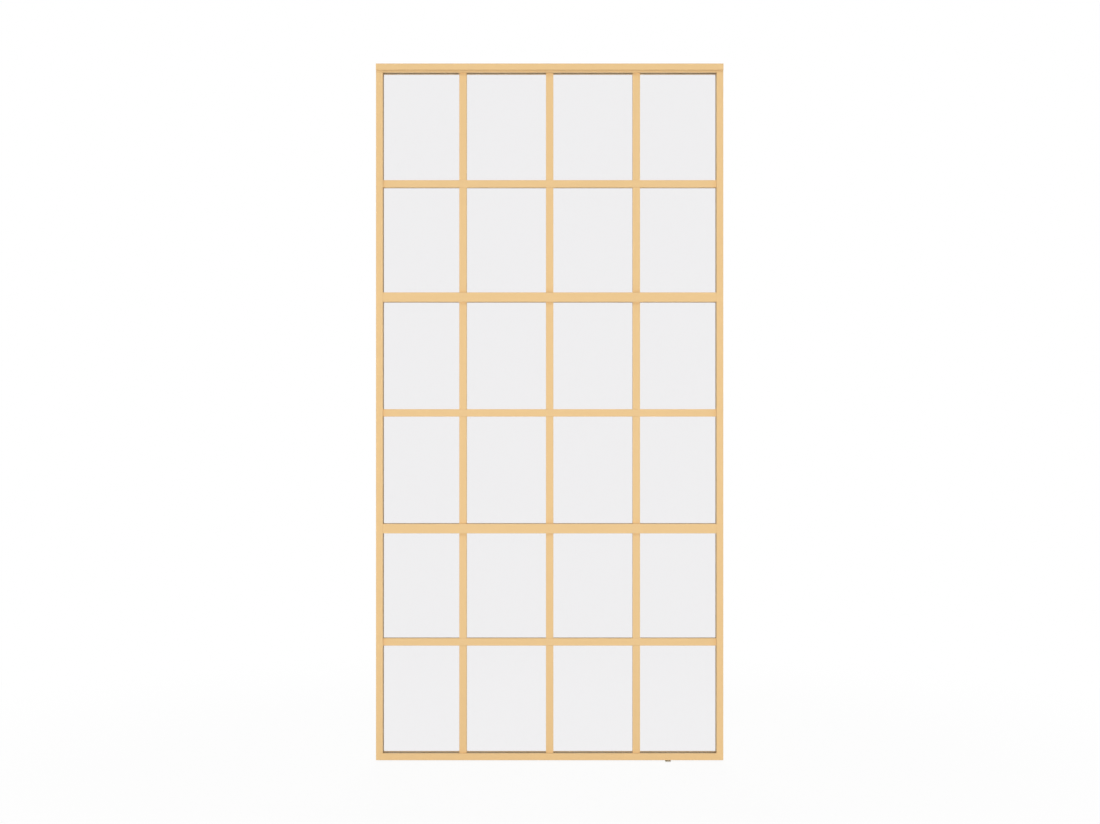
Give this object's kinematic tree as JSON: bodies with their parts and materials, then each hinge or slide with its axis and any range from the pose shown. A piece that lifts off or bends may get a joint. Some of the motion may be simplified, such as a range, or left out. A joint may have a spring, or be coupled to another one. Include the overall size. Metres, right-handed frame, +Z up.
{
  "type": "glazed sliding door",
  "caption": "Slim aluminium sliding door leaf with clear glass behind a grid of glazing bars, rolling under a short head rail with concealed rollers.",
  "frame": {"origin": "on the floor, below the middle of the closed leaf", "axes": "+X along the head rail towards the side that the leaf opens to, +Y from front to back, +Z up"},
  "size_m": [1.025, 0.052, 2.061],
  "materials": {
    "head_coat": "champagne satin powder coat",
    "frame_coat": "champagne satin powder coat",
    "bar_coat": "champagne satin powder coat",
    "clear_glass": "clear toughened, polished",
    "gasket_rubber": "matt",
    "setting_block_plastic": "matt",
    "plain_aluminium": "mill finish",
    "buffer_rubber": "matt",
    "steel_screws": "zinc plated",
    "plug_plastic": "satin",
    "hanger_steel": "zinc plated",
    "shoe_plastic": "natural acetal",
    "bush_bronze": "sintered bronze",
    "axle_steel": "ground",
    "wheel_plastic": "natural acetal"
  },
  "bodies": {
    "head": {"head_rail": "head_coat", "hanger_inner": "hanger_steel", "hanger_outer": "hanger_steel", "guide_shoe_inner": "shoe_plastic", "guide_shoe_outer": "shoe_plastic", "hanger_screws": "steel_screws", "axle_bushes": "bush_bronze", "floor_guide_base": "shoe_plastic", "floor_guide_pin": "axle_steel", "floor_guide_sleeve": "shoe_plastic"},
    "leaf": {"top_rail": "frame_coat", "bottom_rail": "frame_coat", "stile_left": "frame_coat", "stile_right": "frame_coat", "mid_rail_lower": "frame_coat", "mid_rail_upper": "frame_coat", "end_cover_left": "frame_coat", "end_cover_right": "frame_coat", "glass_lower": "clear_glass", "gaskets_front_lower": "gasket_rubber", "upright_bars_front_lower": "bar_coat", "cross_bar_front_lower": "bar_coat", "gaskets_back_lower": "gasket_rubber", "upright_bars_back_lower": "bar_coat", "cross_bar_back_lower": "bar_coat", "glass_middle": "clear_glass", "gaskets_front_middle": "gasket_rubber", "upright_bars_front_middle": "bar_coat", "cross_bar_front_middle": "bar_coat", "gaskets_back_middle": "gasket_rubber", "upright_bars_back_middle": "bar_coat", "cross_bar_back_middle": "bar_coat", "glass_upper": "clear_glass", "gaskets_front_upper": "gasket_rubber", "upright_bars_front_upper": "bar_coat", "cross_bar_front_upper": "bar_coat", "gaskets_back_upper": "gasket_rubber", "upright_bars_back_upper": "bar_coat", "cross_bar_back_upper": "bar_coat", "setting_blocks": "setting_block_plastic", "corner_cleats_left": "plain_aluminium", "top_block_left": "plain_aluminium", "end_stop_left": "plain_aluminium", "buffer_left": "buffer_rubber", "corner_cleats_right": "plain_aluminium", "top_block_right": "plain_aluminium", "end_stop_right": "plain_aluminium", "buffer_right": "buffer_rubber", "end_stop_screws": "steel_screws", "mid_rail_screws": "steel_screws", "access_plugs": "plug_plastic"},
    "wheelset_1": {"axle_1": "axle_steel", "wheels_1": "wheel_plastic"},
    "wheelset_2": {"axle_2": "axle_steel", "wheels_2": "wheel_plastic"},
    "wheelset_3": {"axle_3": "axle_steel", "wheels_3": "wheel_plastic"},
    "wheelset_4": {"axle_4": "axle_steel", "wheels_4": "wheel_plastic"}
  },
  "joints": [
    {"name": "leaf_slide", "type": "slide", "parent": "head", "child": "leaf", "axis": [1, 0, 0], "range_m": [0, 0.7]},
    {"name": "wheelset_1_spin", "type": "hinge", "parent": "head", "child": "wheelset_1", "pos_m": [0.2215, 0, 2.0488], "axis": [0, 1, 0], "range_deg": [-90, 8110]},
    {"name": "wheelset_2_spin", "type": "hinge", "parent": "head", "child": "wheelset_2", "pos_m": [0.2515, 0, 2.0488], "axis": [0, 1, 0], "range_deg": [-90, 8110]},
    {"name": "wheelset_3_spin", "type": "hinge", "parent": "head", "child": "wheelset_3", "pos_m": [0.4485, 0, 2.0488], "axis": [0, 1, 0], "range_deg": [-90, 8110]},
    {"name": "wheelset_4_spin", "type": "hinge", "parent": "head", "child": "wheelset_4", "pos_m": [0.4785, 0, 2.0488], "axis": [0, 1, 0], "range_deg": [-90, 8110]}
  ],
  "couplings": [
    {"joint": "wheelset_1_spin", "follows": "leaf_slide", "rad_per_m": 200},
    {"joint": "wheelset_2_spin", "follows": "leaf_slide", "rad_per_m": 200},
    {"joint": "wheelset_3_spin", "follows": "leaf_slide", "rad_per_m": 200},
    {"joint": "wheelset_4_spin", "follows": "leaf_slide", "rad_per_m": 200}
  ]
}
